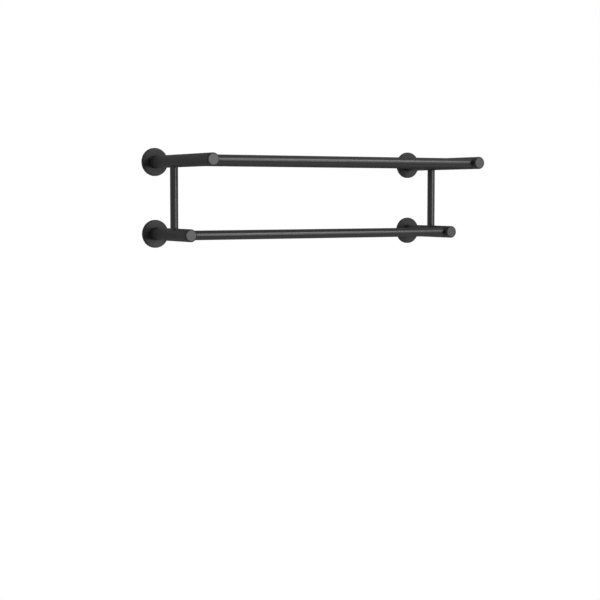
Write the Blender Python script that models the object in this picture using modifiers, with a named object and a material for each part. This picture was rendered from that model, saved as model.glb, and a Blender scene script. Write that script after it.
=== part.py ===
"""Wall rack for a bathroom: a shelf of rods above one towel bar, carried by four round flanges.

X runs along the wall, Y into the wall and Z up. The origin lies on the wall, midway between the
four flanges, so everything in the room has a negative Y. Left and right are as seen from the room,
and "out" is the distance from the wall. All lengths are in metres.
"""
from collections import namedtuple
from math import cos, pi, radians, sin

import bmesh
import bpy
from mathutils import Vector

# The frame: two side frames of two arms and a post, tied by the cross bars.
ARM_SPACING = 0.620
TIER_SPACING = 0.146
UPPER_REACH = 0.270
LOWER_REACH = 0.172
ARM_DIAMETER = 0.0254
ARM_WALL = 0.0020

# Front bar of the shelf and towel bar, one tube size, set back from the arms' front faces.
BAR_DIAMETER = 0.0190
BAR_WALL = 0.0015
BAR_SETBACK = 0.0200

# Shelf rods behind the front bar, at one pitch from the rear rod to the front bar.
ROD_DIAMETER = 0.0160
ROD_WALL = 0.0012
ROD_COUNT = 5
REAR_ROD_OUT = 0.0280
RODS_BEHIND_POST_COUNT = 2

# Every cross bar and post ends this far past the axis of the arm that it plugs into.
TUBE_END_PAST_AXIS = 0.0035

# Posts between the tiers, plugged straight into the arms.
POST_DIAMETER = 0.0160
POST_WALL = 0.0015

# Flange: a shallow cup round the arm's root that covers the bracket.
FLANGE_DIAMETER = 0.0570
FLANGE_DEPTH = 0.0062
FLANGE_EDGE = 0.0020
FLANGE_WALL = 0.0030
FLANGE_FACE = 0.0022

# Wall bracket: a plate that fills the flange but for these clearances, and a boss that enters the
# arm's tube and stops short of the rear rod. Its wall screws stand in from the plate's edge.
PLATE_SIDE_CLEARANCE = 0.0035
PLATE_FRONT_CLEARANCE = 0.0010
BOSS_ROD_CLEARANCE = 0.0020
BOSS_CHAMFER = 0.0010
WALL_SCREW_INSET = 0.0055
WALL_SCREW_HOLE_DIAMETER = 0.0048
WALL_SCREW_SINK_DIAMETER = 0.0086

# End cap of an arm: a head as wide as the arm, with a rounded edge, on a neck that stops short of
# the bar.
CAP_HEAD = 0.0035
CAP_EDGE = 0.0025
CAP_BAR_CLEARANCE = 0.0025

# Socket set screws, one size throughout. Those in the arms' roots have a cone point and stand back
# from the end of the boss.
GRUB_DIAMETER = 0.0040
GRUB_LENGTH = 0.0050
GRUB_RECESS = 0.0004
GRUB_CHAMFER = 0.0004
GRUB_SOCKET_FLATS = 0.0020
GRUB_SOCKET_DEPTH = 0.0022
ROOT_GRUB_INSET = 0.0060

# Gap between pieces that touch, how far a cutter runs past what it cuts, and the weld distance.
FIT_GAP = 0.0003
CUT_OVERRUN = 0.0010
WELD_DISTANCE = 0.000001

# Facets round a turn.
ARM_SEGMENTS = 32
BAR_SEGMENTS = 24
FLANGE_SEGMENTS = 36
PLATE_SEGMENTS = 24
CAP_SEGMENTS = 32
HOLE_SEGMENTS = 12
GRUB_SEGMENTS = 8
EDGE_STEPS = 3
HEX_SIDES = 6
SHARP_ANGLE = radians(35)

ARM_RADIUS = ARM_DIAMETER / 2
ARM_BORE = ARM_RADIUS - ARM_WALL
BAR_RADIUS = BAR_DIAMETER / 2
ROD_RADIUS = ROD_DIAMETER / 2
POST_RADIUS = POST_DIAMETER / 2
GRUB_RADIUS = GRUB_DIAMETER / 2
GRUB_HOLE_RADIUS = GRUB_RADIUS + FIT_GAP
GRUB_HEAD_FROM_AXIS = ARM_RADIUS - GRUB_RECESS
GRUB_TIP_FROM_AXIS = GRUB_HEAD_FROM_AXIS - GRUB_LENGTH
PLATE_RADIUS = FLANGE_DIAMETER / 2 - FLANGE_WALL - PLATE_SIDE_CLEARANCE
PLATE_THICKNESS = FLANGE_DEPTH - FLANGE_FACE - PLATE_FRONT_CLEARANCE
WALL_SCREW_OFFSET = PLATE_RADIUS - WALL_SCREW_INSET
ARM_ROOT_OUT = PLATE_THICKNESS + FIT_GAP
BOSS_END_OUT = REAR_ROD_OUT - ROD_RADIUS - BOSS_ROD_CLEARANCE
ROOT_GRUB_OUT = BOSS_END_OUT - ROOT_GRUB_INSET
CAP_NECK = BAR_SETBACK - BAR_RADIUS - CAP_HEAD - CAP_BAR_CLEARANCE
SOCKET_END_PAST_AXIS = TUBE_END_PAST_AXIS + FIT_GAP
FRONT_BAR_OUT = UPPER_REACH - BAR_SETBACK
TOWEL_BAR_OUT = LOWER_REACH - BAR_SETBACK
ROD_PITCH = (FRONT_BAR_OUT - REAR_ROD_OUT) / ROD_COUNT
POST_OUT = REAR_ROD_OUT + (RODS_BEHIND_POST_COUNT - 1 / 2) * ROD_PITCH

SIDES = {"left": -1, "right": 1}
TIERS = {"upper": 1, "lower": -1}
REACHES = {"upper": UPPER_REACH, "lower": LOWER_REACH}

RIGHT = Vector((1, 0, 0))
ROOM = Vector((0, -1, 0))
UP = Vector((0, 0, 1))

CrossBar = namedtuple("CrossBar", "name tier out radius wall")


def cross_bars():
    """Front bar, shelf rods numbered from the wall, and towel bar."""
    bars = [CrossBar("shelf_front_bar", "upper", FRONT_BAR_OUT, BAR_RADIUS, BAR_WALL)]
    for number in range(ROD_COUNT):
        out = REAR_ROD_OUT + number * ROD_PITCH
        bars.append(CrossBar(f"shelf_rod_{number + 1}", "upper", out, ROD_RADIUS, ROD_WALL))
    bars.append(CrossBar("towel_bar", "lower", TOWEL_BAR_OUT, BAR_RADIUS, BAR_WALL))
    return bars


def place(side, tier, out):
    """Point on the axis of one arm, at a distance out from the wall."""
    return Vector((SIDES[side] * ARM_SPACING / 2, -out, TIERS[tier] * TIER_SPACING / 2))


def arms():
    """Side and tier of each of the four arms."""
    return [(side, tier) for tier in TIERS for side in SIDES]


def clear_scene():
    for obj in list(bpy.data.objects):
        bpy.data.objects.remove(obj)


def new_collection(name):
    collection = bpy.data.collections.new(name)
    bpy.context.scene.collection.children.link(collection)
    return collection


def new_material(name, colour, roughness, metallic):
    material = bpy.data.materials.new(name)
    material.use_nodes = True
    shader = material.node_tree.nodes["Principled BSDF"]
    shader.inputs["Base Color"].default_value = (*colour, 1)
    shader.inputs["Roughness"].default_value = roughness
    shader.inputs["Metallic"].default_value = metallic
    return material


def bake(obj):
    """Turn the evaluated object into a plain welded mesh, smooth but for its sharp edges."""
    depsgraph = bpy.context.evaluated_depsgraph_get()
    mesh = bpy.data.meshes.new_from_object(obj.evaluated_get(depsgraph))
    obj.modifiers.clear()
    obj.data = mesh
    edit = bmesh.new()
    edit.from_mesh(mesh)
    bmesh.ops.remove_doubles(edit, verts=edit.verts, dist=WELD_DISTANCE)
    edit.to_mesh(mesh)
    edit.free()
    mesh.shade_smooth()
    mesh.set_sharp_from_angle(angle=SHARP_ANGLE)


def turned(name, profile, segments, centre, direction, hollow=False):
    """Turn (radius, height) points about an axis through centre, with height along direction.

    The points run down the outer side. A solid starts and ends on the axis, and a hollow ring
    closes on itself.
    """
    mesh = bpy.data.meshes.new(name)
    edit = bmesh.new()
    points = [edit.verts.new((radius, 0, height)) for radius, height in profile]
    ring = points + points[:1] if hollow else points
    for start, end in zip(ring, ring[1:]):
        edit.edges.new((start, end))
    edit.to_mesh(mesh)
    edit.free()
    obj = bpy.data.objects.new(name, mesh)
    obj.location = centre
    obj.rotation_euler = UP.rotation_difference(direction).to_euler()
    parts.objects.link(obj)
    screw = obj.modifiers.new("Turn", "SCREW")
    screw.steps = screw.render_steps = segments
    screw.use_merge_vertices = True
    screw.merge_threshold = WELD_DISTANCE
    bake(obj)
    return obj


def tube(name, radius, wall, segments, start, end):
    """Open tube from start to end."""
    length = (end - start).length
    inner = radius - wall
    profile = [(radius, length), (radius, 0), (inner, 0), (inner, length)]
    return turned(name, profile, segments, start, (end - start).normalized(), hollow=True)


def rounded_edge(radius, height, edge):
    """Points of a rounded outer edge, from the top face at height down to the side at radius."""
    angles = [pi / 2 * (1 - step / EDGE_STEPS) for step in range(EDGE_STEPS + 1)]
    return [(radius - edge + edge * cos(angle), height - edge + edge * sin(angle)) for angle in angles]


def as_cutter(obj):
    parts.objects.unlink(obj)
    cutters.objects.link(obj)
    obj.hide_render = True
    obj.display_type = "WIRE"
    return obj


def drill(name, radius, segments, start, end):
    """Round cutter from start to end."""
    profile = [(0, (end - start).length), (radius, (end - start).length), (radius, 0), (0, 0)]
    return as_cutter(turned(name, profile, segments, start, (end - start).normalized()))


def cut(obj, tools):
    """Take each tool away from the object and keep the result as its mesh."""
    bpy.context.view_layer.update()
    for tool in tools:
        boolean = obj.modifiers.new(tool.name, "BOOLEAN")
        boolean.operation = "DIFFERENCE"
        boolean.solver = "EXACT"
        boolean.object = tool
    bake(obj)


def wall_bracket(side, tier):
    """Plate with two countersunk holes and a boss grooved for the cone of a set screw."""
    name = f"{tier}_{side}_wall_bracket"
    boss = ARM_BORE - FIT_GAP
    groove = GRUB_TIP_FROM_AXIS - FIT_GAP
    groove_half = boss - groove
    profile = [
        (0, BOSS_END_OUT),
        (boss - BOSS_CHAMFER, BOSS_END_OUT),
        (boss, BOSS_END_OUT - BOSS_CHAMFER),
        (boss, ROOT_GRUB_OUT + groove_half),
        (groove, ROOT_GRUB_OUT),
        (boss, ROOT_GRUB_OUT - groove_half),
        (boss, PLATE_THICKNESS),
        (PLATE_RADIUS, PLATE_THICKNESS),
        (PLATE_RADIUS, 0),
        (0, 0),
    ]
    bracket = turned(name, profile, PLATE_SEGMENTS, place(side, tier, 0), ROOM)
    hole = WALL_SCREW_HOLE_DIAMETER / 2
    sink = WALL_SCREW_SINK_DIAMETER / 2
    sunk = [
        (0, PLATE_THICKNESS + CUT_OVERRUN),
        (sink + CUT_OVERRUN, PLATE_THICKNESS + CUT_OVERRUN),
        (hole, PLATE_THICKNESS - sink + hole),
        (hole, -CUT_OVERRUN),
        (0, -CUT_OVERRUN),
    ]
    tools = []
    for end, name_end in ((1, "top"), (-1, "bottom")):
        centre = place(side, tier, 0) + end * WALL_SCREW_OFFSET * UP
        tools.append(as_cutter(turned(f"{name}_{name_end}_hole", sunk, HOLE_SEGMENTS, centre, ROOM)))
    cut(bracket, tools)
    return bracket


def flange(side, tier):
    """Cup with a rounded front edge, open at the wall and bored for the arm."""
    outer = FLANGE_DIAMETER / 2
    bore = ARM_RADIUS + FIT_GAP
    profile = [(bore, FLANGE_DEPTH)]
    profile += rounded_edge(outer, FLANGE_DEPTH, FLANGE_EDGE)
    profile += [
        (outer, 0),
        (outer - FLANGE_WALL, 0),
        (outer - FLANGE_WALL, FLANGE_DEPTH - FLANGE_FACE),
        (bore, FLANGE_DEPTH - FLANGE_FACE),
    ]
    return turned(f"{tier}_{side}_flange", profile, FLANGE_SEGMENTS, place(side, tier, 0), ROOM, hollow=True)


def grub_hole(name, axis_point, inward, depth_radius):
    """Cutter for a set screw that enters along inward and stops inside a bar's bore."""
    start = axis_point - (ARM_RADIUS + CUT_OVERRUN) * inward
    end = axis_point - (depth_radius - CUT_OVERRUN) * inward
    return drill(name, GRUB_HOLE_RADIUS, GRUB_SEGMENTS, start, end)


def arm(side, tier):
    """Tube with sockets for its cross bars and post, and a set screw hole for each and for the root."""
    name = f"{tier}_{side}_arm"
    root = place(side, tier, ARM_ROOT_OUT)
    front = place(side, tier, REACHES[tier] - CAP_HEAD - FIT_GAP)
    body = tube(name, ARM_RADIUS, ARM_WALL, ARM_SEGMENTS, root, front)
    inward = -SIDES[side] * RIGHT
    to_post = -TIERS[tier] * UP
    reach = ARM_RADIUS + CUT_OVERRUN
    tools = [grub_hole(f"{name}_root_screw_hole", place(side, tier, ROOT_GRUB_OUT), UP, GRUB_TIP_FROM_AXIS)]
    for bar in cross_bars():
        if bar.tier == tier:
            centre = place(side, tier, bar.out)
            start = centre - SOCKET_END_PAST_AXIS * inward
            end = centre + reach * inward
            tools.append(drill(f"{name}_{bar.name}_socket", bar.radius + FIT_GAP, BAR_SEGMENTS, start, end))
            tools.append(grub_hole(f"{name}_{bar.name}_screw_hole", centre, UP, bar.radius - bar.wall))
    centre = place(side, tier, POST_OUT)
    start = centre - SOCKET_END_PAST_AXIS * to_post
    end = centre + reach * to_post
    tools.append(drill(f"{name}_post_socket", POST_RADIUS + FIT_GAP, BAR_SEGMENTS, start, end))
    tools.append(grub_hole(f"{name}_post_screw_hole", centre, -inward, POST_RADIUS - POST_WALL))
    cut(body, tools)
    return body


def end_cap(side, tier):
    """Head with a rounded front edge on a neck that fills the front of the arm's tube."""
    neck = ARM_BORE - FIT_GAP
    back = -CAP_HEAD
    profile = [(0, 0)]
    profile += rounded_edge(ARM_RADIUS, 0, CAP_EDGE)
    profile += [
        (ARM_RADIUS, back),
        (neck, back),
        (neck, back - CAP_NECK),
        (0, back - CAP_NECK),
    ]
    return turned(f"{tier}_{side}_end_cap", profile, CAP_SEGMENTS, place(side, tier, REACHES[tier]), ROOM)


def cross_bar(bar):
    """Tube from arm to arm, drilled underneath for the set screw at each end."""
    start = place("left", bar.tier, bar.out) - TUBE_END_PAST_AXIS * RIGHT
    end = place("right", bar.tier, bar.out) + TUBE_END_PAST_AXIS * RIGHT
    body = tube(bar.name, bar.radius, bar.wall, BAR_SEGMENTS, start, end)
    tools = []
    for side in SIDES:
        centre = place(side, bar.tier, bar.out)
        tools.append(grub_hole(f"{bar.name}_{side}_screw_hole", centre, UP, bar.radius - bar.wall))
    cut(body, tools)
    return body


def post(side):
    """Tube from the lower arm to the upper arm, drilled on its inner side for two set screws."""
    start = place(side, "lower", POST_OUT) - TUBE_END_PAST_AXIS * UP
    end = place(side, "upper", POST_OUT) + TUBE_END_PAST_AXIS * UP
    body = tube(f"{side}_post", POST_RADIUS, POST_WALL, BAR_SEGMENTS, start, end)
    outward = SIDES[side] * RIGHT
    tools = []
    for tier in TIERS:
        centre = place(side, tier, POST_OUT)
        tools.append(grub_hole(f"{side}_post_{tier}_screw_hole", centre, outward, POST_RADIUS - POST_WALL))
    cut(body, tools)
    return body


def grub_screw(name, point):
    """Socket set screw along +Z with its socket at the origin and a tip that narrows by point."""
    tip = GRUB_LENGTH
    profile = [(0, tip), (GRUB_RADIUS - point, tip), (GRUB_RADIUS, tip - point), (GRUB_RADIUS, 0), (0, 0)]
    if point == GRUB_RADIUS:
        del profile[1]
    screw = turned(name, profile, GRUB_SEGMENTS, Vector(), UP)
    socket_radius = GRUB_SOCKET_FLATS / 2 / cos(pi / HEX_SIDES)
    socket = drill(f"{name}_socket", socket_radius, HEX_SIDES, -CUT_OVERRUN * UP, GRUB_SOCKET_DEPTH * UP)
    cut(screw, [socket])
    return screw


def set_screw(name, pattern, axis_point, inward):
    """Copy of the pattern, driven along inward towards the axis point until its head is just sunk."""
    screw = bpy.data.objects.new(name, pattern.data)
    screw.location = axis_point - GRUB_HEAD_FROM_AXIS * inward
    screw.rotation_euler = UP.rotation_difference(inward).to_euler()
    parts.objects.link(screw)
    return screw


def set_screws():
    """Cone point screws in the arms' roots, and flat ones at both ends of every bar and post."""
    cone = grub_screw("cone_point", GRUB_RADIUS)
    flat = grub_screw("flat_point", GRUB_CHAMFER)
    screws = []
    for side, tier in arms():
        screws.append(set_screw(f"{tier}_{side}_root_screw", cone, place(side, tier, ROOT_GRUB_OUT), UP))
        outward = SIDES[side] * RIGHT
        screws.append(set_screw(f"{side}_post_{tier}_screw", flat, place(side, tier, POST_OUT), outward))
    for bar in cross_bars():
        for side in SIDES:
            screws.append(set_screw(f"{bar.name}_{side}_screw", flat, place(side, bar.tier, bar.out), UP))
    bpy.data.objects.remove(cone)
    bpy.data.objects.remove(flat)
    return screws


def finish(objects, material, rack):
    """Give the pieces their material and hang them on the rack's empty."""
    for obj in objects:
        obj.data.materials.clear()
        obj.data.materials.append(material)
        obj.parent = rack


def build():
    rack = bpy.data.objects.new("towel_rack", None)
    parts.objects.link(rack)
    arm_coat = new_material("arm_coat", (0.012, 0.012, 0.0125), 0.46, 0.0)
    cap_coat = new_material("cap_coat", (0.026, 0.026, 0.0265), 0.40, 0.0)
    bar_coat = new_material("bar_coat", (0.008, 0.008, 0.0083), 0.33, 0.0)
    post_coat = new_material("post_coat", (0.008, 0.008, 0.0083), 0.30, 0.0)
    flange_coat = new_material("flange_coat", (0.012, 0.012, 0.0125), 0.40, 0.0)
    bracket_zinc = new_material("bracket_zinc", (0.52, 0.53, 0.55), 0.42, 1.0)
    screw_steel = new_material("screw_steel", (0.06, 0.06, 0.06), 0.40, 1.0)
    finish([wall_bracket(side, tier) for side, tier in arms()], bracket_zinc, rack)
    finish([flange(side, tier) for side, tier in arms()], flange_coat, rack)
    finish([arm(side, tier) for side, tier in arms()], arm_coat, rack)
    finish([end_cap(side, tier) for side, tier in arms()], cap_coat, rack)
    finish([cross_bar(bar) for bar in cross_bars()], bar_coat, rack)
    finish([post(side) for side in SIDES], post_coat, rack)
    finish(set_screws(), screw_steel, rack)


clear_scene()
parts = new_collection("towel_rack_parts")
cutters = new_collection("cutters")
build()
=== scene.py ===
"""Finish of a matte black wall rack: a shelf of rods above one towel bar.

Everything is in metres in the rack's own frame: X along the wall, Y into the wall, Z up and the
origin on the wall plane. Each tube, cap and cover is remade here, finer than its solid and at that
solid's size. "Out" is the distance from the wall, so that it is minus Y.
"""
from math import cos, pi, radians, sin

import bmesh
import bpy
from mathutils import Euler, Matrix, Vector


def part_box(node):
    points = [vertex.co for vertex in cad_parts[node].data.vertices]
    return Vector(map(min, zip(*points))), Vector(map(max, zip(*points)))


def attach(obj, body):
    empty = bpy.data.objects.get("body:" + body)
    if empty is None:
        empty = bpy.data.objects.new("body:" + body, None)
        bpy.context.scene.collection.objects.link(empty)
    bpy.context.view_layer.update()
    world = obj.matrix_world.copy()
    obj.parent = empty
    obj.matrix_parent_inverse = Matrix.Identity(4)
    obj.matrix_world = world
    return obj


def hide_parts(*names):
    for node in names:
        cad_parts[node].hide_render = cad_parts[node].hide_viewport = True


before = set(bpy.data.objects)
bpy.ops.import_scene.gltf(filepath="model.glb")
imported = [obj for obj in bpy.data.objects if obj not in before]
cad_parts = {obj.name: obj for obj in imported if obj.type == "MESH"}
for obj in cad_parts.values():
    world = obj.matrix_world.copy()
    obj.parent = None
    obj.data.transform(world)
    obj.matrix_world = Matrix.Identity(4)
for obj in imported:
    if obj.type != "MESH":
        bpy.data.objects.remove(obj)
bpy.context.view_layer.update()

SIDES = {"left": -1, "right": 1}
TIERS = {"upper": 1, "lower": -1}
RIGHT = Vector((1, 0, 0))
ROOM = Vector((0, -1, 0))
UP = Vector((0, 0, 1))
BODY = "root"

# Tube walls, the clearance of hidden fits and screws, the closer one where a joint shows, and how
# far a cutter reaches past what it cuts.
ARM_WALL = 0.0020
BAR_WALL = 0.0015
ROD_WALL = 0.0012
POST_WALL = 0.0015
FIT_GAP = 0.0003
CLOSE_FIT = 0.00005
CUT_OVERRUN = 0.0010

# How far the edges are rounded: cut tube ends, covers, and caps with their necks.
TUBE_EDGE = 0.00025
FLANGE_EDGE = 0.0020
FLANGE_LIP = 0.0004
CAP_EDGE = 0.0025
NECK_EDGE = 0.0004

# Thickness of a cover's side and face, and of a cap in front of its neck.
FLANGE_WALL = 0.0030
FLANGE_FACE = 0.0022
CAP_HEAD = 0.0035

# Wall bracket: its plate and boss, its two countersunk holes, and how far out the groove lies that
# the root screw's cone bites into.
PLATE_THICKNESS = 0.0030
PLATE_EDGE = 0.0004
BOSS_EDGE = 0.0010
SCREW_HOLE_INSET = 0.0055
SCREW_HOLE_RADIUS = 0.0024
SCREW_SINK_RADIUS = 0.0043
ROOT_SCREW_OUT = 0.0120

# Set screw: an M4 thread, its hexagon socket and its two kinds of point.
SCREW_RADIUS = 0.0020
SCREW_LENGTH = 0.0050
SCREW_HEAD_SUNK = 0.0004
THREAD_PITCH = 0.0007
THREAD_DEPTH = 0.00028
SOCKET_FLATS = 0.0020
SOCKET_DEPTH = 0.0022
FLAT_POINT = 0.0004
HEXAGON_SIDES = 6

# Facets: sides of round pieces, rings along a thread, steps of a rounded edge, and what counts as
# a sharp edge or as one point.
ARM_SIDES = 128
BAR_SIDES = 96
HOLE_SIDES = 48
SCREW_SIDES = 24
SCREW_RINGS = 48
EDGE_STEPS = 8
SHARP_ANGLE = radians(35)
WELD_DISTANCE = 0.000001

# Rods of the shelf, the first of them nearest the wall.
ROD_COUNT = 5
ROD_NODES = [f"shelf_rod_{number + 1}" for number in range(ROD_COUNT)]

# Noise levels between which clouds go from thin to thick, and worn patches from nothing to full.
CLOUD_THIN = 0.3
CLOUD_THICK = 0.7
PATCH_START = 0.38
PATCH_FULL = 0.62

# How well a rounded normal agrees with the true one beside an edge, and on it.
BESIDE_EDGE = 0.99
ON_EDGE = 0.85

# Smears: how they are turned and narrowed, the noise level that they start from, how much coverage
# lowers it, and how soft their borders are.
SMEAR_TURN = (0.4, 0.2, 0.7)
SMEAR_NARROWING = (1.0, 4.0, 2.5)
SMEAR_LEVEL = 0.75
SMEAR_LEVEL_DROP = 0.5
SMEAR_SOFTNESS = 0.12

# Powder coat: heights of its peel and grain, and sizes of its clouds, worn spots and smears.
COAT_PEEL_HEIGHT = 0.000030
COAT_GRAIN_HEIGHT = 0.000040
COAT_CLOUD_SIZE = 0.06
COAT_WORN_WIDTH = 0.0005
COAT_WORN_PATCH = 0.007
COAT_SMEAR_LENGTH = 0.05
COAT_SMEAR_COVERAGE = 0.35

# Powder coat: how much paler its flecks and rubbed edges are, and at what grain a fleck begins.
FLECK_PALER = 1.28
FLECK_START = 0.4
FLECK_CONTRAST = 1.2
RUBBED_PALER = 2.2
RUBBED_LIFT = 0.006

# Powder coat: how much clouds and wear change its tone, and clouds, smears and wear its gloss.
COAT_CLOUD_TONE = 0.18
COAT_WORN_TONE = 0.55
COAT_CLOUD_DULLNESS = 0.012
COAT_SMEAR_GLOSS = 0.012
COAT_WORN_GLOSS = 0.08

# How far a surface is turned away, from 0 to 1, where its coat starts to lose its gloss.
SIDE_START = 0.25

# Zinc plating: sizes of its clouds, worn spots and smears, its drawn lines, its two tints, its worn
# tone, and how dull lines and smears make it.
ZINC_CLOUD_SIZE = 0.012
ZINC_WORN_WIDTH = 0.0006
ZINC_WORN_PATCH = 0.004
ZINC_SMEAR_LENGTH = 0.02
ZINC_SMEAR_COVERAGE = 0.5
ZINC_LINE_STRETCH = (1.0, 1.0, 0.04)
ZINC_LINE_SCALE = 2600.0
ZINC_LINE_HEIGHT = 0.000006
ZINC_BLUE = (0.50, 0.53, 0.57)
ZINC_STRAW = (0.58, 0.56, 0.50)
ZINC_WORN = (0.70, 0.70, 0.70)
ZINC_WORN_TONE = 0.6
ZINC_ROUGHNESS = 0.33
ZINC_LINE_DULLNESS = 0.16
ZINC_SMEAR_DULLNESS = 0.07

# Black oxide of the screws: sizes of its clouds and worn spots, its oily and brown tints, its worn
# tone and its roughness.
OXIDE_CLOUD_SIZE = 0.002
OXIDE_WORN_WIDTH = 0.00015
OXIDE_WORN_PATCH = 0.001
OXIDE_OILY = (0.052, 0.050, 0.050)
OXIDE_BROWN = (0.070, 0.064, 0.058)
OXIDE_WORN = (0.24, 0.23, 0.22)
OXIDE_WORN_TONE = 0.7
OXIDE_ROUGHNESS = 0.38
OXIDE_CLOUD_DULLNESS = 0.05

# Places of the colour sockets in a Mix node, whose other types have sockets of the same names.
MIX_COLOUR_INPUTS = (6, 7)
MIX_COLOUR_RESULT = 2


class Fit:
    """Ends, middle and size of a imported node, from its box."""

    def __init__(self, node):
        self.low, self.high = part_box(node)
        self.middle = (self.low + self.high) / 2
        self.size = self.high - self.low


def link(obj):
    """Puts a new object in the scene."""
    bpy.context.scene.collection.objects.link(obj)
    return obj


def add(tree, kind, inputs=None, **settings):
    """New node in a tree. An input takes a value or the socket that feeds it."""
    made = tree.nodes.new(kind)
    for name, value in settings.items():
        setattr(made, name, value)
    for name, value in (inputs or {}).items():
        if isinstance(value, bpy.types.NodeSocket):
            tree.links.new(value, made.inputs[name])
        else:
            made.inputs[name].default_value = value
    return made


def calc(tree, operation, *values, clamp=False):
    """Result of one sum on values or sockets."""
    inputs = dict(enumerate(values))
    return add(tree, "ShaderNodeMath", inputs, operation=operation, use_clamp=clamp).outputs[0]


def new_group(name, kind, takes, gives):
    """Node group with named sockets: the tree, its inputs by name and its output node."""
    tree = bpy.data.node_groups.new(name, kind)
    for label, socket, default in takes:
        made = tree.interface.new_socket(label, in_out="INPUT", socket_type=socket)
        if default is not None:
            made.default_value = default
    for label, socket in gives:
        tree.interface.new_socket(label, in_out="OUTPUT", socket_type=socket)
    return tree, tree.nodes.new("NodeGroupInput").outputs, tree.nodes.new("NodeGroupOutput").inputs


# Shared effects of the finishes.

def powder_grain():
    """Height of a powder coat: a soft orange peel with a fine grain on it."""
    tree, takes, gives = new_group("powder grain", "ShaderNodeTree", [
        ("Peel size", "NodeSocketFloat", 0.003),
        ("Peel height", "NodeSocketFloat", 0.00001),
        ("Grain size", "NodeSocketFloat", 0.0005),
        ("Grain height", "NodeSocketFloat", 0.00001),
    ], [("Height", "NodeSocketFloat"), ("Fleck", "NodeSocketFloat")])
    place = add(tree, "ShaderNodeTexCoord").outputs["Object"]
    peel = add(tree, "ShaderNodeTexNoise", {
        "Vector": place, "Scale": calc(tree, "DIVIDE", 1.0, takes["Peel size"]), "Detail": 1.0})
    grain = add(tree, "ShaderNodeTexNoise", {
        "Vector": place, "Scale": calc(tree, "DIVIDE", 1.0, takes["Grain size"]), "Detail": 2.0})
    soft = calc(tree, "MULTIPLY", peel.outputs["Fac"], takes["Peel height"])
    fine = calc(tree, "MULTIPLY", grain.outputs["Fac"], takes["Grain height"])
    tree.links.new(calc(tree, "ADD", soft, fine), gives["Height"])
    tree.links.new(grain.outputs["Fac"], gives["Fleck"])
    return tree


def coat_clouds():
    """Slow drift from -1 to 1 in how thick and how dull a coat is."""
    tree, takes, gives = new_group("coat clouds", "ShaderNodeTree", [
        ("Size", "NodeSocketFloat", 0.05),
    ], [("Drift", "NodeSocketFloat")])
    place = add(tree, "ShaderNodeTexCoord").outputs["Object"]
    cloud = add(tree, "ShaderNodeTexNoise", {
        "Vector": place, "Scale": calc(tree, "DIVIDE", 1.0, takes["Size"]), "Detail": 3.0,
        "Roughness": 0.55})
    drift = add(tree, "ShaderNodeMapRange", {
        "Value": cloud.outputs["Fac"], "From Min": CLOUD_THIN, "From Max": CLOUD_THICK,
        "To Min": -1.0, "To Max": 1.0})
    tree.links.new(drift.outputs["Result"], gives["Drift"])
    return tree


def edge_wear():
    """Mask of the sharp edges, broken up as rubbing leaves them."""
    tree, takes, gives = new_group("edge wear", "ShaderNodeTree", [
        ("Width", "NodeSocketFloat", 0.0006),
        ("Patch size", "NodeSocketFloat", 0.006),
    ], [("Mask", "NodeSocketFloat")])
    place = add(tree, "ShaderNodeTexCoord").outputs["Object"]
    rounded_normal = add(tree, "ShaderNodeBevel", {"Radius": takes["Width"]}, samples=4)
    true_normal = add(tree, "ShaderNodeNewGeometry").outputs["Normal"]
    match = add(tree, "ShaderNodeVectorMath", {0: rounded_normal.outputs[0], 1: true_normal},
                operation="DOT_PRODUCT").outputs["Value"]
    edge = add(tree, "ShaderNodeMapRange", {
        "Value": match, "From Min": BESIDE_EDGE, "From Max": ON_EDGE, "To Min": 0.0, "To Max": 1.0})
    patch = add(tree, "ShaderNodeTexNoise", {
        "Vector": place, "Scale": calc(tree, "DIVIDE", 1.0, takes["Patch size"]), "Detail": 4.0})
    broken = add(tree, "ShaderNodeMapRange", {
        "Value": patch.outputs["Fac"], "From Min": PATCH_START, "From Max": PATCH_FULL,
        "To Min": 0.0, "To Max": 1.0})
    mask = calc(tree, "MULTIPLY", edge.outputs["Result"], broken.outputs["Result"])
    tree.links.new(mask, gives["Mask"])
    return tree


def handling_marks():
    """Mask of faint smears, long and narrow, where a coat has been wiped."""
    tree, takes, gives = new_group("handling marks", "ShaderNodeTree", [
        ("Length", "NodeSocketFloat", 0.04),
        ("Coverage", "NodeSocketFloat", 0.4),
    ], [("Mask", "NodeSocketFloat")])
    place = add(tree, "ShaderNodeTexCoord").outputs["Object"]
    stretched = add(tree, "ShaderNodeMapping", {
        "Vector": place, "Rotation": SMEAR_TURN, "Scale": SMEAR_NARROWING}).outputs["Vector"]
    smear = add(tree, "ShaderNodeTexNoise", {
        "Vector": stretched, "Scale": calc(tree, "DIVIDE", 1.0, takes["Length"]), "Detail": 5.0,
        "Distortion": 0.8}).outputs["Fac"]
    drop = calc(tree, "MULTIPLY", takes["Coverage"], SMEAR_LEVEL_DROP)
    low = calc(tree, "SUBTRACT", SMEAR_LEVEL, drop)
    mask = add(tree, "ShaderNodeMapRange", {
        "Value": smear, "From Min": low, "From Max": calc(tree, "ADD", low, SMEAR_SOFTNESS),
        "To Min": 0.0, "To Max": 1.0})
    tree.links.new(mask.outputs["Result"], gives["Mask"])
    return tree


EFFECTS = {
    "grain": powder_grain(),
    "clouds": coat_clouds(),
    "wear": edge_wear(),
    "marks": handling_marks(),
}


def effect(tree, name, **values):
    """Places a shared effect in a material with its own values."""
    inputs = {label.replace("_", " ").capitalize(): value for label, value in values.items()}
    placed = tree.nodes.new("ShaderNodeGroup")
    placed.node_tree = EFFECTS[name]
    for label, value in inputs.items():
        placed.inputs[label].default_value = value
    return placed.outputs


def new_material(name):
    """New material, its tree and its main shader."""
    material = bpy.data.materials.new(name)
    material.use_nodes = True
    return material, material.node_tree, material.node_tree.nodes["Principled BSDF"]


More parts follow.
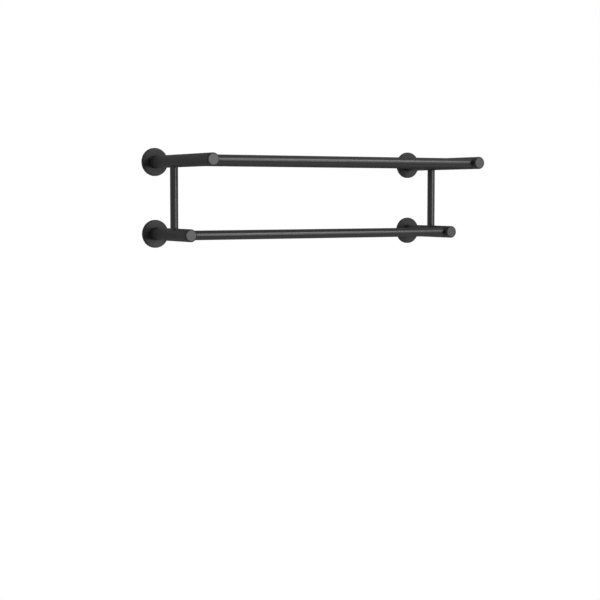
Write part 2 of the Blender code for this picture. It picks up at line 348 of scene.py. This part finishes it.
def blend_colour(tree, share, first, second):
    """Colour between two, by a share from 0 to 1."""
    mixed = add(tree, "ShaderNodeMix", {"Factor": share}, data_type="RGBA")
    for place, colour in zip(MIX_COLOUR_INPUTS, (first, second)):
        if isinstance(colour, bpy.types.NodeSocket):
            tree.links.new(colour, mixed.inputs[place])
        else:
            mixed.inputs[place].default_value = (*colour, 1)
    return mixed.outputs[MIX_COLOUR_RESULT]


def coat(name, colour, roughness, side_dullness, specular, peel_size, grain_size):
    """Matte black powder coat: grained, slightly uneven, and rubbed a little on its edges.

    It loses gloss where the surface is seen from the side, which keeps the undersides of the bars
    dark in white surroundings. Side dullness is how much roughness that adds at most.
    """
    material, tree, shader = new_material(name)
    grain = effect(tree, "grain", peel_size=peel_size, peel_height=COAT_PEEL_HEIGHT,
                   grain_size=grain_size, grain_height=COAT_GRAIN_HEIGHT)
    drift = effect(tree, "clouds", size=COAT_CLOUD_SIZE)["Drift"]
    worn = effect(tree, "wear", width=COAT_WORN_WIDTH, patch_size=COAT_WORN_PATCH)["Mask"]
    wiped = effect(tree, "marks", length=COAT_SMEAR_LENGTH, coverage=COAT_SMEAR_COVERAGE)["Mask"]

    pale = tuple(channel * FLECK_PALER for channel in colour)
    rubbed = tuple(channel * RUBBED_PALER + RUBBED_LIFT for channel in colour)
    over = calc(tree, "SUBTRACT", grain["Fleck"], FLECK_START, clamp=True)
    fleck = calc(tree, "MULTIPLY", over, FLECK_CONTRAST)
    uneven = calc(tree, "ADD", fleck, calc(tree, "MULTIPLY", drift, COAT_CLOUD_TONE), clamp=True)
    tone = blend_colour(tree, uneven, colour, pale)
    tone = blend_colour(tree, calc(tree, "MULTIPLY", worn, COAT_WORN_TONE), tone, rubbed)
    tree.links.new(tone, shader.inputs["Base Color"])

    dull = calc(tree, "ADD", roughness, calc(tree, "MULTIPLY", drift, COAT_CLOUD_DULLNESS))
    dull = calc(tree, "SUBTRACT", dull, calc(tree, "MULTIPLY", wiped, COAT_SMEAR_GLOSS))
    dull = calc(tree, "SUBTRACT", dull, calc(tree, "MULTIPLY", worn, COAT_WORN_GLOSS))
    turned_away = add(tree, "ShaderNodeLayerWeight", {"Blend": 0.5}).outputs["Facing"]
    matted = add(tree, "ShaderNodeMapRange", {
        "Value": turned_away, "From Min": SIDE_START, "From Max": 1.0,
        "To Min": 0.0, "To Max": side_dullness}).outputs["Result"]
    tree.links.new(calc(tree, "ADD", dull, matted, clamp=True), shader.inputs["Roughness"])

    bump = add(tree, "ShaderNodeBump", {"Strength": 1.0, "Distance": 1.0, "Height": grain["Height"]})
    tree.links.new(bump.outputs["Normal"], shader.inputs["Normal"])
    shader.inputs["Specular IOR Level"].default_value = specular
    return material


def zinc_plate(name):
    """Bright zinc plating over drawn steel, with the plating's faint blue and straw tints."""
    material, tree, shader = new_material(name)
    place = add(tree, "ShaderNodeTexCoord").outputs["Object"]
    drawn = add(tree, "ShaderNodeMapping", {"Vector": place, "Scale": ZINC_LINE_STRETCH})
    lines = add(tree, "ShaderNodeTexNoise", {
        "Vector": drawn.outputs["Vector"], "Scale": ZINC_LINE_SCALE, "Detail": 3.0}).outputs["Fac"]
    drift = effect(tree, "clouds", size=ZINC_CLOUD_SIZE)["Drift"]
    worn = effect(tree, "wear", width=ZINC_WORN_WIDTH, patch_size=ZINC_WORN_PATCH)["Mask"]
    wiped = effect(tree, "marks", length=ZINC_SMEAR_LENGTH, coverage=ZINC_SMEAR_COVERAGE)["Mask"]
    tint = calc(tree, "MULTIPLY_ADD", drift, 0.5, 0.5, clamp=True)
    tone = blend_colour(tree, tint, ZINC_BLUE, ZINC_STRAW)
    tone = blend_colour(tree, calc(tree, "MULTIPLY", worn, ZINC_WORN_TONE), tone, ZINC_WORN)
    tree.links.new(tone, shader.inputs["Base Color"])
    dull = calc(tree, "ADD", ZINC_ROUGHNESS, calc(tree, "MULTIPLY", lines, ZINC_LINE_DULLNESS))
    dull = calc(tree, "ADD", dull, calc(tree, "MULTIPLY", wiped, ZINC_SMEAR_DULLNESS))
    tree.links.new(dull, shader.inputs["Roughness"])
    height = calc(tree, "MULTIPLY", lines, ZINC_LINE_HEIGHT)
    bump = add(tree, "ShaderNodeBump", {"Strength": 1.0, "Distance": 1.0, "Height": height})
    tree.links.new(bump.outputs["Normal"], shader.inputs["Normal"])
    shader.inputs["Metallic"].default_value = 1.0
    return material


def black_oxide(name):
    """Blackened steel of the set screws: oily with brownish clouds, and paler on rubbed edges."""
    material, tree, shader = new_material(name)
    drift = effect(tree, "clouds", size=OXIDE_CLOUD_SIZE)["Drift"]
    worn = effect(tree, "wear", width=OXIDE_WORN_WIDTH, patch_size=OXIDE_WORN_PATCH)["Mask"]
    oily = calc(tree, "MULTIPLY_ADD", drift, 0.5, 0.5, clamp=True)
    tone = blend_colour(tree, oily, OXIDE_OILY, OXIDE_BROWN)
    tone = blend_colour(tree, calc(tree, "MULTIPLY", worn, OXIDE_WORN_TONE), tone, OXIDE_WORN)
    tree.links.new(tone, shader.inputs["Base Color"])
    dull = calc(tree, "MULTIPLY_ADD", drift, OXIDE_CLOUD_DULLNESS, OXIDE_ROUGHNESS)
    tree.links.new(dull, shader.inputs["Roughness"])
    shader.inputs["Metallic"].default_value = 1.0
    return material


FINISHES = {
    "arm_coat": coat(
        "arm_coat", (0.012, 0.012, 0.0125), roughness=0.46, side_dullness=0.40, specular=0.20,
        peel_size=0.0032, grain_size=0.00055),
    "cap_coat": coat(
        "cap_coat", (0.026, 0.026, 0.0265), roughness=0.40, side_dullness=0.75, specular=0.36,
        peel_size=0.0030, grain_size=0.00050),
    "bar_coat": coat(
        "bar_coat", (0.008, 0.008, 0.0083), roughness=0.33, side_dullness=0.85, specular=0.32,
        peel_size=0.0040, grain_size=0.00050),
    "post_coat": coat(
        "post_coat", (0.008, 0.008, 0.0083), roughness=0.30, side_dullness=0.85, specular=0.34,
        peel_size=0.0040, grain_size=0.00050),
    "flange_coat": coat(
        "flange_coat", (0.012, 0.012, 0.0125), roughness=0.40, side_dullness=0.60, specular=0.21,
        peel_size=0.0030, grain_size=0.00055),
    "bracket_zinc": zinc_plate("bracket_zinc"),
    "screw_steel": black_oxide("screw_steel"),
}


# Making of the pieces.

def evaluated_mesh(obj):
    """Plain mesh of the object with its modifiers applied."""
    bpy.context.view_layer.update()
    return bpy.data.meshes.new_from_object(obj.evaluated_get(bpy.context.evaluated_depsgraph_get()))


def polish(obj):
    """Smooth shading that keeps flat faces flat and sharp edges sharp."""
    obj.data.shade_smooth()
    obj.data.set_sharp_from_angle(angle=SHARP_ANGLE)
    weighted = obj.modifiers.new("Weighted Normal", "WEIGHTED_NORMAL")
    weighted.keep_sharp = True
    mesh = evaluated_mesh(obj)
    obj.modifiers.clear()
    obj.data = mesh


def piece(obj, slot, nodes):
    """Gives a made piece its finish and hangs it on the rack in place of its solids."""
    polish(obj)
    obj.data.materials.clear()
    obj.data.materials.append(FINISHES[slot])
    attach(obj, BODY)
    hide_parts(*nodes)
    return obj


def rounded(corners, closed):
    """Outline through (radius, height, rounding) corners, each rounded off by an arc."""
    points = []
    for number, (radius, height, rounding) in enumerate(corners):
        here = Vector((radius, height))
        if not rounding:
            points.append(here)
            continue
        before = Vector(corners[number - 1][:2]) - here
        after = Vector(corners[(number + 1) % len(corners)][:2]) - here
        half = before.angle(after) / 2
        inward = (before.normalized() + after.normalized()).normalized()
        centre = here + inward * rounding / sin(half)
        reach = rounding * cos(half) / sin(half)
        start = (here + before.normalized() * reach - centre).normalized()
        end = (here + after.normalized() * reach - centre).normalized()
        arc = [start.slerp(end, step / EDGE_STEPS) for step in range(EDGE_STEPS + 1)]
        points += [centre + rounding * direction for direction in arc]
    return points + points[:1] if closed else points


def skin(name, sections):
    """Closed surface through matching rows of points, the last row joined to the first."""
    edit = bmesh.new()
    rows = [[edit.verts.new(point) for point in section] for section in sections]
    for row, following in zip(rows, rows[1:] + rows[:1]):
        for index in range(len(row) - 1):
            edit.faces.new((row[index], row[index + 1], following[index + 1], following[index]))
    bmesh.ops.remove_doubles(edit, verts=edit.verts, dist=WELD_DISTANCE)
    bmesh.ops.recalc_face_normals(edit, faces=edit.faces)
    mesh = bpy.data.meshes.new(name)
    edit.to_mesh(mesh)
    edit.free()
    return link(bpy.data.objects.new(name, mesh))


def turned(name, outline, sides, centre, direction):
    """Turns an outline of (radius, height) points about an axis through centre."""
    stand = Matrix.Translation(centre) @ UP.rotation_difference(direction).to_matrix().to_4x4()
    sections = []
    for side in range(sides):
        angle = 2 * pi * side / sides
        sections.append([stand @ Vector((r * cos(angle), r * sin(angle), h)) for r, h in outline])
    return skin(name, sections)


def tube_outline(radius, wall, start, end, edge):
    """Closed section of a tube's wall, with its cut ends rounded inside and out."""
    inner = radius - wall
    return rounded([
        (radius, start, edge),
        (radius, end, edge),
        (inner, end, edge),
        (inner, start, edge),
    ], True)


def drill(radius, start, end, sides=HOLE_SIDES):
    """Plain round cutter between two points."""
    length = (end - start).length
    outline = [(0, 0), (radius, 0), (radius, length), (0, length)]
    return turned("cutter", outline, sides, start, end - start)


def cut(obj, cutters):
    """Takes the cutters away from a piece, and then removes them."""
    for cutter in cutters:
        boolean = obj.modifiers.new("Cut", "BOOLEAN")
        boolean.operation = "DIFFERENCE"
        boolean.solver = "EXACT"
        boolean.object = cutter
    mesh = evaluated_mesh(obj)
    obj.modifiers.clear()
    obj.data = mesh
    for cutter in cutters:
        bpy.data.objects.remove(cutter)


def arms():
    """Side and tier of each of the four arms."""
    return [(side, tier) for tier in TIERS for side in SIDES]


def bars_of(tier):
    """Names of the solids that cross from arm to arm in one tier."""
    return ["shelf_front_bar"] + ROD_NODES if tier == "upper" else ["towel_bar"]


def arm(side, tier):
    """Tube with the sockets of its bars and its post, and the holes of its set screws."""
    fit = Fit(f"{tier}_{side}_arm")
    radius = fit.size.x / 2
    axis = Vector((fit.middle.x, 0, fit.middle.z))
    outline = tube_outline(radius, ARM_WALL, -fit.high.y, -fit.low.y, TUBE_EDGE)
    tube = turned(f"{tier}_{side}_arm_tube", outline, ARM_SIDES, axis, ROOM)
    inward = -SIDES[side] * RIGHT
    reach = radius + CUT_OVERRUN
    hole = SCREW_RADIUS + FIT_GAP
    cutters = [drill(hole, axis + ROOT_SCREW_OUT * ROOM - reach * UP, axis + ROOT_SCREW_OUT * ROOM)]
    for bar in bars_of(tier):
        bar_fit = Fit(bar)
        centre = axis - bar_fit.middle.y * ROOM
        end_past_axis = bar_fit.size.x / 2 - abs(axis.x)
        socket = bar_fit.size.z / 2 + CLOSE_FIT
        socket_end = centre - (end_past_axis + FIT_GAP) * inward
        cutters.append(drill(socket, socket_end, centre + reach * inward, BAR_SIDES))
        cutters.append(drill(hole, centre - reach * UP, centre))
    post = Fit(f"{side}_post")
    to_post = -TIERS[tier] * UP
    centre = axis - post.middle.y * ROOM
    cutters.append(drill(post.size.x / 2 + CLOSE_FIT, centre, centre + reach * to_post, BAR_SIDES))
    cutters.append(drill(hole, centre, centre + reach * inward))
    cut(tube, cutters)
    return piece(tube, "arm_coat", [f"{tier}_{side}_arm"])


def end_cap(side, tier):
    """Disc that closes the arm's front, on a neck inside the tube, with a rim as dull as the arm and
    darkened as painted shade.
    """
    fit = Fit(f"{tier}_{side}_end_cap")
    radius = fit.size.x / 2
    neck = radius - ARM_WALL - FIT_GAP
    back = fit.size.y - CAP_HEAD
    outline = rounded([
        (0, 0, 0),
        (neck, 0, NECK_EDGE),
        (neck, back, 0),
        (radius, back, TUBE_EDGE),
        (radius, fit.size.y, CAP_EDGE),
        (0, fit.size.y, 0),
    ], False)
    centre = Vector((fit.middle.x, fit.high.y, fit.middle.z))
    cap = turned(f"{tier}_{side}_cap_disc", outline, ARM_SIDES, centre, ROOM)
    piece(cap, "cap_coat", [f"{tier}_{side}_end_cap"])
    # Rim and neck take the arm's darker, duller coat, a painted shaded ring round the flat face, which keeps
    # the cap's.
    cap.data.materials.append(FINISHES["arm_coat"])
    for face in cap.data.polygons:
        face.material_index = int(face.center.y > fit.low.y + WELD_DISTANCE)
    return cap


def flange(side, tier):
    """Shallow cup that covers the bracket, with a rounded rim and a softened lip round the arm."""
    fit = Fit(f"{tier}_{side}_flange")
    radius = fit.size.x / 2
    bore = Fit(f"{tier}_{side}_arm").size.x / 2 + CLOSE_FIT
    inner = radius - FLANGE_WALL
    ceiling = fit.size.y - FLANGE_FACE
    outline = rounded([
        (bore, fit.size.y, FLANGE_LIP),
        (bore, ceiling, TUBE_EDGE),
        (inner, ceiling, TUBE_EDGE),
        (inner, 0, TUBE_EDGE),
        (radius, 0, TUBE_EDGE),
        (radius, fit.size.y, FLANGE_EDGE),
    ], True)
    centre = Vector((fit.middle.x, 0, fit.middle.z))
    cup = turned(f"{tier}_{side}_flange_cup", outline, ARM_SIDES, centre, ROOM)
    return piece(cup, "flange_coat", [f"{tier}_{side}_flange"])


def wall_bracket(side, tier):
    """Plated disc with two countersunk holes and a grooved boss that fills the arm's root."""
    fit = Fit(f"{tier}_{side}_wall_bracket")
    plate = fit.size.x / 2
    boss = Fit(f"{tier}_{side}_arm").size.x / 2 - ARM_WALL - FIT_GAP
    groove = boss + ARM_WALL - SCREW_HEAD_SUNK - SCREW_LENGTH
    groove_half = boss - groove
    outline = rounded([
        (0, 0, 0),
        (plate, 0, PLATE_EDGE),
        (plate, PLATE_THICKNESS, PLATE_EDGE),
        (boss, PLATE_THICKNESS, 0),
        (boss, ROOT_SCREW_OUT - groove_half, 0),
        (groove, ROOT_SCREW_OUT, 0),
        (boss, ROOT_SCREW_OUT + groove_half, 0),
        (boss, fit.size.y, BOSS_EDGE),
        (0, fit.size.y, 0),
    ], False)
    centre = Vector((fit.middle.x, 0, fit.middle.z))
    bracket = turned(f"{tier}_{side}_bracket_plate", outline, ARM_SIDES, centre, ROOM)
    sink = rounded([
        (0, -CUT_OVERRUN, 0),
        (SCREW_HOLE_RADIUS, -CUT_OVERRUN, 0),
        (SCREW_HOLE_RADIUS, PLATE_THICKNESS - SCREW_SINK_RADIUS + SCREW_HOLE_RADIUS, 0),
        (SCREW_SINK_RADIUS + CUT_OVERRUN, PLATE_THICKNESS + CUT_OVERRUN, 0),
        (0, PLATE_THICKNESS + CUT_OVERRUN, 0),
    ], False)
    offset = plate - SCREW_HOLE_INSET
    cut(bracket, [turned("cutter", sink, HOLE_SIDES, centre + end * offset * UP, ROOM) for end in (-1, 1)])
    return piece(bracket, "bracket_zinc", [f"{tier}_{side}_wall_bracket"])


def post(side):
    """Upright tube that plugs into both arms of one side."""
    fit = Fit(f"{side}_post")
    outline = tube_outline(fit.size.x / 2, POST_WALL, fit.low.z, fit.high.z, TUBE_EDGE)
    centre = Vector((fit.middle.x, fit.middle.y, 0))
    tube = turned(f"{side}_post_tube", outline, BAR_SIDES, centre, UP)
    inward = -SIDES[side] * RIGHT
    cutters = []
    for tier in TIERS:
        level = centre + Fit(f"{tier}_{side}_arm").middle.z * UP
        cutters.append(drill(SCREW_RADIUS + FIT_GAP, level, level + fit.size.x * inward))
    cut(tube, cutters)
    return piece(tube, "post_coat", [f"{side}_post"])


# Geometry Nodes: cross bars and set screws.

def run_tree(name, points, tree, values):
    """Evaluates a tree on a mesh of points and returns the result as a plain object."""
    obj = link(bpy.data.objects.new(name, points))
    modifier = obj.modifiers.new(name, "NODES")
    modifier.node_group = tree
    sockets = {item.name: item.identifier for item in tree.interface.items_tree if item.in_out == "INPUT"}
    for label, value in values.items():
        modifier[sockets[label]] = value
    mesh = evaluated_mesh(obj)
    obj.modifiers.clear()
    obj.data = mesh
    return obj


def cross_bar_tree():
    """A row of equal tubes along X, one behind the other, each with rounded ends."""
    tree, takes, gives = new_group("cross bars", "GeometryNodeTree", [
        ("Geometry", "NodeSocketGeometry", None),
        ("Length", "NodeSocketFloat", 0.6),
        ("Radius", "NodeSocketFloat", 0.008),
        ("Wall", "NodeSocketFloat", 0.0012),
        ("Edge", "NodeSocketFloat", 0.00025),
        ("Sides", "NodeSocketInt", 96),
        ("Count", "NodeSocketInt", 1),
        ("Pitch", "NodeSocketFloat", 0.0),
        ("Finish", "NodeSocketMaterial", None),
    ], [("Geometry", "NodeSocketGeometry")])
    half_wall = calc(tree, "MULTIPLY", takes["Wall"], 0.5)
    ring = add(tree, "GeometryNodeCurvePrimitiveCircle", {
        "Resolution": takes["Sides"], "Radius": calc(tree, "SUBTRACT", takes["Radius"], half_wall)})
    section = add(tree, "GeometryNodeCurvePrimitiveQuadrilateral", {
        "Width": takes["Wall"], "Height": takes["Length"]})
    softened = add(tree, "GeometryNodeFilletCurve", {
        "Curve": section.outputs["Curve"], "Radius": takes["Edge"], "Count": EDGE_STEPS}, mode="POLY")
    swept = add(tree, "GeometryNodeCurveToMesh", {
        "Curve": ring.outputs["Curve"], "Profile Curve": softened.outputs["Curve"]})
    lying = add(tree, "GeometryNodeTransform", {
        "Geometry": swept.outputs["Mesh"], "Rotation": Euler((0, pi / 2, 0))})
    apart = add(tree, "ShaderNodeCombineXYZ", {"Y": calc(tree, "MULTIPLY", takes["Pitch"], -1.0)})
    row = add(tree, "GeometryNodeMeshLine", {"Count": takes["Count"], "Offset": apart.outputs["Vector"]})
    start = add(tree, "GeometryNodeInputPosition")
    anchor = add(tree, "GeometryNodeSampleIndex", {
        "Geometry": takes["Geometry"], "Value": start.outputs["Position"]}, data_type="FLOAT_VECTOR")
    shifted = add(tree, "GeometryNodeSetPosition", {
        "Geometry": row.outputs["Mesh"], "Offset": anchor.outputs["Value"]})
    bars = add(tree, "GeometryNodeInstanceOnPoints", {
        "Points": shifted.outputs["Geometry"], "Instance": lying.outputs["Geometry"]})
    solid = add(tree, "GeometryNodeRealizeInstances", {"Geometry": bars.outputs["Instances"]})
    dressed = add(tree, "GeometryNodeSetMaterial", {
        "Geometry": solid.outputs["Geometry"], "Material": takes["Finish"]})
    tree.links.new(dressed.outputs["Geometry"], gives["Geometry"])
    return tree


def cross_bars(name, nodes, wall, tree):
    """Tubes that stand for a row of equal solids, the first of them nearest the wall."""
    fits = [Fit(node) for node in nodes]
    first, last = fits[0], fits[-1]
    points = bpy.data.meshes.new(name)
    points.from_pydata([first.middle], [], [])
    pitch = (first.middle.y - last.middle.y) / max(1, len(nodes) - 1)
    row = run_tree(name, points, tree, {
        "Length": first.size.x, "Radius": first.size.z / 2, "Wall": wall, "Edge": TUBE_EDGE,
        "Sides": BAR_SIDES, "Count": len(nodes), "Pitch": pitch, "Finish": FINISHES["bar_coat"]})
    return piece(row, "bar_coat", nodes)


def set_screw_tree():
    """A threaded set screw on every point, driven along that point's "inward" direction."""
    tree, takes, gives = new_group("set screws", "GeometryNodeTree", [
        ("Geometry", "NodeSocketGeometry", None),
        ("Length", "NodeSocketFloat", 0.005),
        ("Radius", "NodeSocketFloat", 0.002),
        ("Thread pitch", "NodeSocketFloat", 0.0007),
        ("Thread depth", "NodeSocketFloat", 0.0003),
        ("Socket radius", "NodeSocketFloat", 0.00115),
        ("Socket depth", "NodeSocketFloat", 0.0022),
        ("Flat point", "NodeSocketFloat", 0.0004),
        ("Sides", "NodeSocketInt", 24),
        ("Rings", "NodeSocketInt", 48),
        ("Finish", "NodeSocketMaterial", None),
    ], [("Geometry", "NodeSocketGeometry")])
    blank = add(tree, "GeometryNodeMeshCylinder", {
        "Vertices": takes["Sides"], "Side Segments": takes["Rings"],
        "Radius": takes["Radius"], "Depth": takes["Length"]})
    from_head = calc(tree, "MULTIPLY", takes["Length"], 0.5)
    raised = add(tree, "GeometryNodeTransform", {
        "Geometry": blank.outputs["Mesh"],
        "Translation": add(tree, "ShaderNodeCombineXYZ", {"Z": from_head}).outputs["Vector"]})
    spot = add(tree, "ShaderNodeSeparateXYZ", {0: add(tree, "GeometryNodeInputPosition").outputs[0]}).outputs
    turn = calc(tree, "DIVIDE", calc(tree, "ARCTAN2", spot["Y"], spot["X"]), 2 * pi)
    phase = calc(tree, "SUBTRACT", calc(tree, "DIVIDE", spot["Z"], takes["Thread pitch"]), turn)
    valley = calc(tree, "PINGPONG", phase, 0.5)
    head_fade = calc(tree, "DIVIDE", spot["Z"], takes["Thread pitch"], clamp=True)
    to_tip = calc(tree, "SUBTRACT", takes["Length"], spot["Z"])
    tip_fade = calc(tree, "DIVIDE", to_tip, takes["Thread pitch"], clamp=True)
    depth = calc(tree, "MULTIPLY", takes["Thread depth"], calc(tree, "MULTIPLY", valley, 2.0))
    depth = calc(tree, "MULTIPLY", depth, calc(tree, "MULTIPLY", head_fade, tip_fade))
    screws = []
    for point_length in (takes["Flat point"], takes["Radius"]):
        flat_end = calc(tree, "SUBTRACT", takes["Radius"], point_length)
        limit = calc(tree, "ADD", flat_end, to_tip)
        radius = calc(tree, "MINIMUM", calc(tree, "SUBTRACT", takes["Radius"], depth), limit)
        share = calc(tree, "DIVIDE", radius, takes["Radius"])
        sized = add(tree, "ShaderNodeCombineXYZ", {
            "X": calc(tree, "MULTIPLY", spot["X"], share),
            "Y": calc(tree, "MULTIPLY", spot["Y"], share), "Z": spot["Z"]})
        threaded = add(tree, "GeometryNodeSetPosition", {
            "Geometry": raised.outputs["Geometry"], "Position": sized.outputs["Vector"]})
        hexagon = add(tree, "GeometryNodeMeshCylinder", {
            "Vertices": HEXAGON_SIDES, "Radius": takes["Socket radius"],
            "Depth": calc(tree, "MULTIPLY", takes["Socket depth"], 2.0)})
        socketed = add(tree, "GeometryNodeMeshBoolean", {
            "Mesh 1": threaded.outputs["Geometry"], "Mesh 2": hexagon.outputs["Mesh"]},
            operation="DIFFERENCE", solver="EXACT")
        screws.append(socketed.outputs["Mesh"])
    kinds = tree.nodes.new("GeometryNodeGeometryToInstance")
    for screw in reversed(screws):
        tree.links.new(screw, kinds.inputs["Geometry"])
    inward = add(tree, "GeometryNodeInputNamedAttribute", {"Name": "inward"}, data_type="FLOAT_VECTOR")
    pointed = add(tree, "GeometryNodeInputNamedAttribute", {"Name": "pointed"}, data_type="INT")
    aim = add(tree, "FunctionNodeAlignRotationToVector", {"Vector": inward.outputs["Attribute"]}, axis="Z")
    placed = add(tree, "GeometryNodeInstanceOnPoints", {
        "Points": takes["Geometry"], "Instance": kinds.outputs["Instances"], "Pick Instance": True,
        "Instance Index": pointed.outputs["Attribute"], "Rotation": aim.outputs["Rotation"]})
    solid = add(tree, "GeometryNodeRealizeInstances", {"Geometry": placed.outputs["Instances"]})
    dressed = add(tree, "GeometryNodeSetMaterial", {
        "Geometry": solid.outputs["Geometry"], "Material": takes["Finish"]})
    tree.links.new(dressed.outputs["Geometry"], gives["Geometry"])
    return tree


def set_screws():
    """All the set screws, each at the head of its solid and turned the way that it is driven."""
    nodes = sorted(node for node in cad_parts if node.endswith("_screw"))
    heads, inwards, pointed = [], [], []
    for node in nodes:
        fit = Fit(node)
        inward = UP
        if "post" in node:
            inward = SIDES[node.split("_")[0]] * RIGHT
        heads.append(fit.middle - SCREW_LENGTH / 2 * inward)
        inwards += list(inward)
        pointed.append(int("root" in node))
    points = bpy.data.meshes.new("set_screws")
    points.from_pydata(heads, [], [])
    points.attributes.new("inward", "FLOAT_VECTOR", "POINT").data.foreach_set("vector", inwards)
    points.attributes.new("pointed", "INT", "POINT").data.foreach_set("value", pointed)
    screws = run_tree("set_screws", points, set_screw_tree(), {
        "Length": SCREW_LENGTH, "Radius": SCREW_RADIUS, "Thread pitch": THREAD_PITCH,
        "Thread depth": THREAD_DEPTH,
        "Socket radius": SOCKET_FLATS / 2 / cos(pi / HEXAGON_SIDES),
        "Socket depth": SOCKET_DEPTH, "Flat point": FLAT_POINT, "Sides": SCREW_SIDES,
        "Rings": SCREW_RINGS, "Finish": FINISHES["screw_steel"]})
    return piece(screws, "screw_steel", nodes)


for rack_side, rack_tier in arms():
    wall_bracket(rack_side, rack_tier)
    flange(rack_side, rack_tier)
    arm(rack_side, rack_tier)
    end_cap(rack_side, rack_tier)
for rack_side in SIDES:
    post(rack_side)
bar_tree = cross_bar_tree()
cross_bars("shelf_rods", ROD_NODES, ROD_WALL, bar_tree)
cross_bars("shelf_front_tube", ["shelf_front_bar"], BAR_WALL, bar_tree)
cross_bars("towel_tube", ["towel_bar"], BAR_WALL, bar_tree)
set_screws()


# Studio: a pale floor well below the rack, a soft main light in front of it and to its right, a
# weaker one lower down on the same side, and a camera to its left.

WHITE = (1, 1, 1, 1)
FLOOR_COLOUR = (0.80, 0.80, 0.79, 1)
FLOOR_ROUGHNESS = 0.9
FLOOR_SPECULAR = 0.1
FLOOR_LIFT = 0.42
FLOOR_SIDES = 96
FLOOR_DROP = 1.30
FLOOR_RADIUS = 6.0
FLOOR_LIT_RADIUS = 0.7
FLOOR_FADE_RADIUS = 1.45
ROOM_STRENGTH = 0.30
MAIN_LIGHT = {
    "azimuth": 31.0, "elevation": 22.0, "distance": 3.0,
    "width": 1.2, "height": 0.9, "power": 50.0}
LOW_LIGHT = {
    "azimuth": 19.0, "elevation": -2.0, "distance": 3.0,
    "width": 1.3, "height": 0.6, "power": 28.0}
LIGHT_AIM = Vector((0, -0.12, 0))
CAMERA_PLACE = (-1.5308, -2.7106, 0.0030)
CAMERA_YAW = radians(29.974)
CAMERA_TILT_DOWN = radians(4.09)
CAMERA_LENS_MM = 86.84
SENSOR_MM = 36.0


def sees_background(tree):
    """Share of rays that should meet the plain white background: those of eye, gloss and glass."""
    path = add(tree, "ShaderNodeLightPath").outputs
    share = calc(tree, "MAXIMUM", path["Is Camera Ray"], path["Is Glossy Ray"])
    return calc(tree, "MAXIMUM", share, path["Is Transmission Ray"])


def studio_world(strength):
    """Even room light, which eye, gloss and glass see as plain white."""
    world = bpy.data.worlds.new("studio")
    world.use_nodes = True
    tree = world.node_tree
    tree.nodes.clear()
    room = add(tree, "ShaderNodeBackground", {"Color": WHITE, "Strength": strength})
    white = add(tree, "ShaderNodeBackground", {"Color": WHITE, "Strength": 1.0})
    mixed = add(tree, "ShaderNodeMixShader", {
        0: sees_background(tree), 1: room.outputs[0], 2: white.outputs[0]})
    add(tree, "ShaderNodeOutputWorld", {"Surface": mixed.outputs[0]})
    bpy.context.scene.world = world


def pale_floor():
    """Wide floor that keeps the rack's shadow and fades to white away from it."""
    bpy.ops.mesh.primitive_circle_add(vertices=FLOOR_SIDES, radius=FLOOR_RADIUS, fill_type="NGON")
    floor = bpy.context.active_object
    floor.name = "floor"
    floor.data.transform(Matrix.Translation((0, 0, -FLOOR_DROP)))
    material, tree, shader = new_material("pale_floor")
    shader.inputs["Base Color"].default_value = FLOOR_COLOUR
    shader.inputs["Roughness"].default_value = FLOOR_ROUGHNESS
    shader.inputs["Specular IOR Level"].default_value = FLOOR_SPECULAR
    lift = add(tree, "ShaderNodeEmission", {"Strength": FLOOR_LIFT})
    lifted = add(tree, "ShaderNodeAddShader", {0: shader.outputs[0], 1: lift.outputs[0]})
    white = add(tree, "ShaderNodeEmission", {"Strength": 1.0})
    place = add(tree, "ShaderNodeTexCoord").outputs["Object"]
    flat = add(tree, "ShaderNodeVectorMath", {0: place, 1: (1, 1, 0)}, operation="MULTIPLY")
    away = add(tree, "ShaderNodeVectorMath", {0: flat.outputs[0]}, operation="LENGTH").outputs["Value"]
    fade = add(tree, "ShaderNodeMapRange", {
        "Value": away, "From Min": FLOOR_LIT_RADIUS, "From Max": FLOOR_FADE_RADIUS}).outputs["Result"]
    seen = add(tree, "ShaderNodeMixShader", {0: fade, 1: lifted.outputs[0], 2: white.outputs[0]})
    mixed = add(tree, "ShaderNodeMixShader", {
        0: sees_background(tree), 1: shader.outputs[0], 2: seen.outputs[0]})
    tree.links.new(mixed.outputs[0], tree.nodes["Material Output"].inputs["Surface"])
    floor.data.materials.append(material)


def soft_light(name, azimuth, elevation, distance, width, height, power):
    """Flat lamp that faces the rack. Azimuth is from straight out in the room towards +X."""
    data = bpy.data.lights.new(name, "AREA")
    data.shape = "RECTANGLE"
    data.size, data.size_y = width, height
    data.energy = power
    lamp = link(bpy.data.objects.new(name, data))
    level = cos(radians(elevation))
    turn = radians(azimuth)
    away = Vector((sin(turn) * level, -cos(turn) * level, sin(radians(elevation))))
    lamp.location = LIGHT_AIM + away * distance
    lamp.rotation_euler = away.to_track_quat("Z", "Y").to_euler()


def camera():
    """Camera to the left of the rack, level with its middle and tilted slightly down."""
    data = bpy.data.cameras.new("camera")
    data.sensor_width = SENSOR_MM
    data.lens = CAMERA_LENS_MM
    eye = link(bpy.data.objects.new("camera", data))
    eye.location = CAMERA_PLACE
    eye.rotation_euler = (pi / 2 - CAMERA_TILT_DOWN, 0, -CAMERA_YAW)
    bpy.context.scene.camera = eye


studio_world(ROOM_STRENGTH)
pale_floor()
soft_light("main_light", **MAIN_LIGHT)
soft_light("low_light", **LOW_LIGHT)
camera()
bpy.context.scene.view_settings.view_transform = "Standard"
